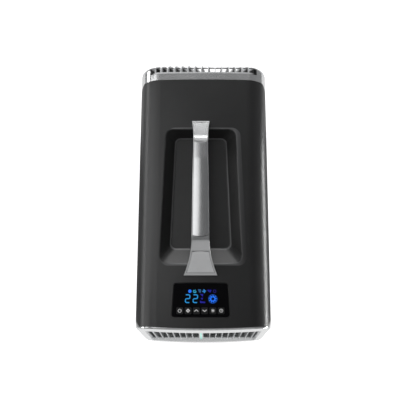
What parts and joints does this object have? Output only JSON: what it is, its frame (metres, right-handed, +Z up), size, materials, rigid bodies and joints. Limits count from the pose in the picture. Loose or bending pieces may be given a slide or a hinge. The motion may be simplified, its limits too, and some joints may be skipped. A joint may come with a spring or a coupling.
{
  "type": "portable air conditioner",
  "caption": "Carry-handled portable spot air conditioner: charcoal shell, silver front outlet with upright swing vanes, swirl rear grille, display and push keys.",
  "frame": {"origin": "on the floor, under the middle of the case", "axes": "+Z up, +Y to the rear (the air outlet faces -Y), +X to the right seen from the front"},
  "size_m": [0.261, 0.532, 0.332],
  "materials": {
    "shell": "fine matte charcoal moulding",
    "pan": "matte black moulding",
    "frame": "polished silver plated moulding",
    "grille": "silver white painted moulding",
    "handle": "satin silver",
    "inlay": "brushed satin silver",
    "panel": "gloss black window",
    "key": "gloss black with printed symbols",
    "vane": "silver moulding",
    "mint": "mint translucent strip",
    "link": "white moulding",
    "intake": "matte charcoal moulding",
    "filter": "open cell foam",
    "fin": "thin bare sheet",
    "tube": "drawn copper",
    "steel": "black paint on pressed steel",
    "screw": "zinc plated steel",
    "rubber": "black rubber",
    "fan": "glass filled nylon",
    "shroud": "black moulding",
    "board": "green solder mask",
    "motor": "plated steel can",
    "inlet": "black nylon"
  },
  "bodies": {
    "case": {"top_shell": "shell", "base_pan": "pan", "rubber_feet": "rubber", "base_screws": "screw", "right_intake_grille": "intake", "left_intake_grille": "intake", "air_filters": "filter", "bulkhead": "shroud", "front_frame": "frame", "rear_frame": "frame", "rear_grille": "grille", "power_inlet": "inlet", "drain_plug": "rubber", "handle_body": "handle", "handle_grip": "inlay", "handle_front_cover": "inlay", "handle_rear_cover": "inlay", "handle_screws": "screw", "display_panel": "panel", "display_board": "board", "display_module": "panel", "tact_switches": "key", "evaporator_fins": "fin", "evaporator_tubes": "tube", "condenser_fins": "fin", "condenser_tubes": "tube", "compressor": "steel", "compressor_mounts": "rubber", "refrigerant_lines": "tube", "evaporator_motor": "motor", "evaporator_shroud": "shroud", "condenser_motor": "motor", "condenser_shroud": "shroud", "main_board": "board"},
    "lead_vane": {"lead_vane": "vane", "vane_strip": "mint"},
    "link_bar": {"link_bar": "link"},
    "evaporator_fan": {"evaporator_fan": "fan"},
    "condenser_fan": {"condenser_fan": "fan"},
    "vane_01": {"vane_01": "vane"},
    "vane_02": {"vane_02": "vane"},
    "vane_03": {"vane_03": "vane"},
    "vane_04": {"vane_04": "vane"},
    "vane_05": {"vane_05": "vane"},
    "vane_06": {"vane_06": "vane"},
    "vane_07": {"vane_07": "vane"},
    "vane_08": {"vane_08": "vane"},
    "vane_09": {"vane_09": "vane"},
    "vane_10": {"vane_10": "vane"},
    "vane_11": {"vane_11": "vane"},
    "vane_12": {"vane_12": "vane"},
    "vane_13": {"vane_13": "vane"},
    "vane_14": {"vane_14": "vane"},
    "vane_15": {"vane_15": "vane"},
    "key_power": {"key_power": "key"},
    "key_mode": {"key_mode": "key"},
    "key_up": {"key_up": "key"},
    "key_down": {"key_down": "key"},
    "key_light": {"key_light": "key"},
    "key_timer": {"key_timer": "key"}
  },
  "joints": [
    {"name": "vane_swing", "type": "hinge", "parent": "case", "child": "lead_vane", "pos_m": [-0.005, -0.25, 0.136], "axis": [0, 0, 1], "range_deg": [-25, 25]},
    {"name": "vane_01_swing", "type": "hinge", "parent": "case", "child": "vane_01", "pos_m": [-0.0228, -0.25, 0.136], "axis": [0, 0, 1], "range_deg": [-25, 25]},
    {"name": "vane_02_swing", "type": "hinge", "parent": "case", "child": "vane_02", "pos_m": [-0.0354, -0.25, 0.136], "axis": [0, 0, 1], "range_deg": [-25, 25]},
    {"name": "vane_03_swing", "type": "hinge", "parent": "case", "child": "vane_03", "pos_m": [-0.048, -0.25, 0.136], "axis": [0, 0, 1], "range_deg": [-25, 25]},
    {"name": "vane_04_swing", "type": "hinge", "parent": "case", "child": "vane_04", "pos_m": [-0.0606, -0.25, 0.136], "axis": [0, 0, 1], "range_deg": [-25, 25]},
    {"name": "vane_05_swing", "type": "hinge", "parent": "case", "child": "vane_05", "pos_m": [-0.0732, -0.25, 0.136], "axis": [0, 0, 1], "range_deg": [-25, 25]},
    {"name": "vane_06_swing", "type": "hinge", "parent": "case", "child": "vane_06", "pos_m": [-0.0858, -0.25, 0.136], "axis": [0, 0, 1], "range_deg": [-25, 25]},
    {"name": "vane_07_swing", "type": "hinge", "parent": "case", "child": "vane_07", "pos_m": [-0.0984, -0.25, 0.136], "axis": [0, 0, 1], "range_deg": [-25, 25]},
    {"name": "vane_08_swing", "type": "hinge", "parent": "case", "child": "vane_08", "pos_m": [0.0128, -0.25, 0.136], "axis": [0, 0, 1], "range_deg": [-25, 25]},
    {"name": "vane_09_swing", "type": "hinge", "parent": "case", "child": "vane_09", "pos_m": [0.0254, -0.25, 0.136], "axis": [0, 0, 1], "range_deg": [-25, 25]},
    {"name": "vane_10_swing", "type": "hinge", "parent": "case", "child": "vane_10", "pos_m": [0.038, -0.25, 0.136], "axis": [0, 0, 1], "range_deg": [-25, 25]},
    {"name": "vane_11_swing", "type": "hinge", "parent": "case", "child": "vane_11", "pos_m": [0.0506, -0.25, 0.136], "axis": [0, 0, 1], "range_deg": [-25, 25]},
    {"name": "vane_12_swing", "type": "hinge", "parent": "case", "child": "vane_12", "pos_m": [0.0632, -0.25, 0.136], "axis": [0, 0, 1], "range_deg": [-25, 25]},
    {"name": "vane_13_swing", "type": "hinge", "parent": "case", "child": "vane_13", "pos_m": [0.0758, -0.25, 0.136], "axis": [0, 0, 1], "range_deg": [-25, 25]},
    {"name": "vane_14_swing", "type": "hinge", "parent": "case", "child": "vane_14", "pos_m": [0.0884, -0.25, 0.136], "axis": [0, 0, 1], "range_deg": [-25, 25]},
    {"name": "vane_15_swing", "type": "hinge", "parent": "case", "child": "vane_15", "pos_m": [0.101, -0.25, 0.136], "axis": [0, 0, 1], "range_deg": [-25, 25]},
    {"name": "link_bar_pivot", "type": "hinge", "parent": "lead_vane", "child": "link_bar", "pos_m": [-0.005, -0.242, 0.188], "axis": [0, 0, 1], "range_deg": [-25, 25]},
    {"name": "key_power_press", "type": "slide", "parent": "case", "child": "key_power", "axis": [0, 0, 1], "range_m": [-0.0008, 0], "stiffness_N_per_m": 400, "springref_m": 0.0006},
    {"name": "key_mode_press", "type": "slide", "parent": "case", "child": "key_mode", "axis": [0, 0, 1], "range_m": [-0.0008, 0], "stiffness_N_per_m": 400, "springref_m": 0.0006},
    {"name": "key_up_press", "type": "slide", "parent": "case", "child": "key_up", "axis": [0, 0, 1], "range_m": [-0.0008, 0], "stiffness_N_per_m": 400, "springref_m": 0.0006},
    {"name": "key_down_press", "type": "slide", "parent": "case", "child": "key_down", "axis": [0, 0, 1], "range_m": [-0.0008, 0], "stiffness_N_per_m": 400, "springref_m": 0.0006},
    {"name": "key_light_press", "type": "slide", "parent": "case", "child": "key_light", "axis": [0, 0, 1], "range_m": [-0.0008, 0], "stiffness_N_per_m": 400, "springref_m": 0.0006},
    {"name": "key_timer_press", "type": "slide", "parent": "case", "child": "key_timer", "axis": [0, 0, 1], "range_m": [-0.0008, 0], "stiffness_N_per_m": 400, "springref_m": 0.0006},
    {"name": "evaporator_fan_spin", "type": "hinge", "parent": "case", "child": "evaporator_fan", "pos_m": [0, -0.214, 0.146], "axis": [0, 1, 0], "continuous": true},
    {"name": "condenser_fan_spin", "type": "hinge", "parent": "case", "child": "condenser_fan", "pos_m": [0, 0.2, 0.146], "axis": [0, 1, 0], "continuous": true}
  ],
  "couplings": [
    {"joint": "vane_01_swing", "follows": "vane_swing", "ratio": 1},
    {"joint": "vane_02_swing", "follows": "vane_swing", "ratio": 1},
    {"joint": "vane_03_swing", "follows": "vane_swing", "ratio": 1},
    {"joint": "vane_04_swing", "follows": "vane_swing", "ratio": 1},
    {"joint": "vane_05_swing", "follows": "vane_swing", "ratio": 1},
    {"joint": "vane_06_swing", "follows": "vane_swing", "ratio": 1},
    {"joint": "vane_07_swing", "follows": "vane_swing", "ratio": 1},
    {"joint": "vane_08_swing", "follows": "vane_swing", "ratio": 1},
    {"joint": "vane_09_swing", "follows": "vane_swing", "ratio": 1},
    {"joint": "vane_10_swing", "follows": "vane_swing", "ratio": 1},
    {"joint": "vane_11_swing", "follows": "vane_swing", "ratio": 1},
    {"joint": "vane_12_swing", "follows": "vane_swing", "ratio": 1},
    {"joint": "vane_13_swing", "follows": "vane_swing", "ratio": 1},
    {"joint": "vane_14_swing", "follows": "vane_swing", "ratio": 1},
    {"joint": "vane_15_swing", "follows": "vane_swing", "ratio": 1},
    {"joint": "link_bar_pivot", "follows": "vane_swing", "ratio": -1}
  ]
}
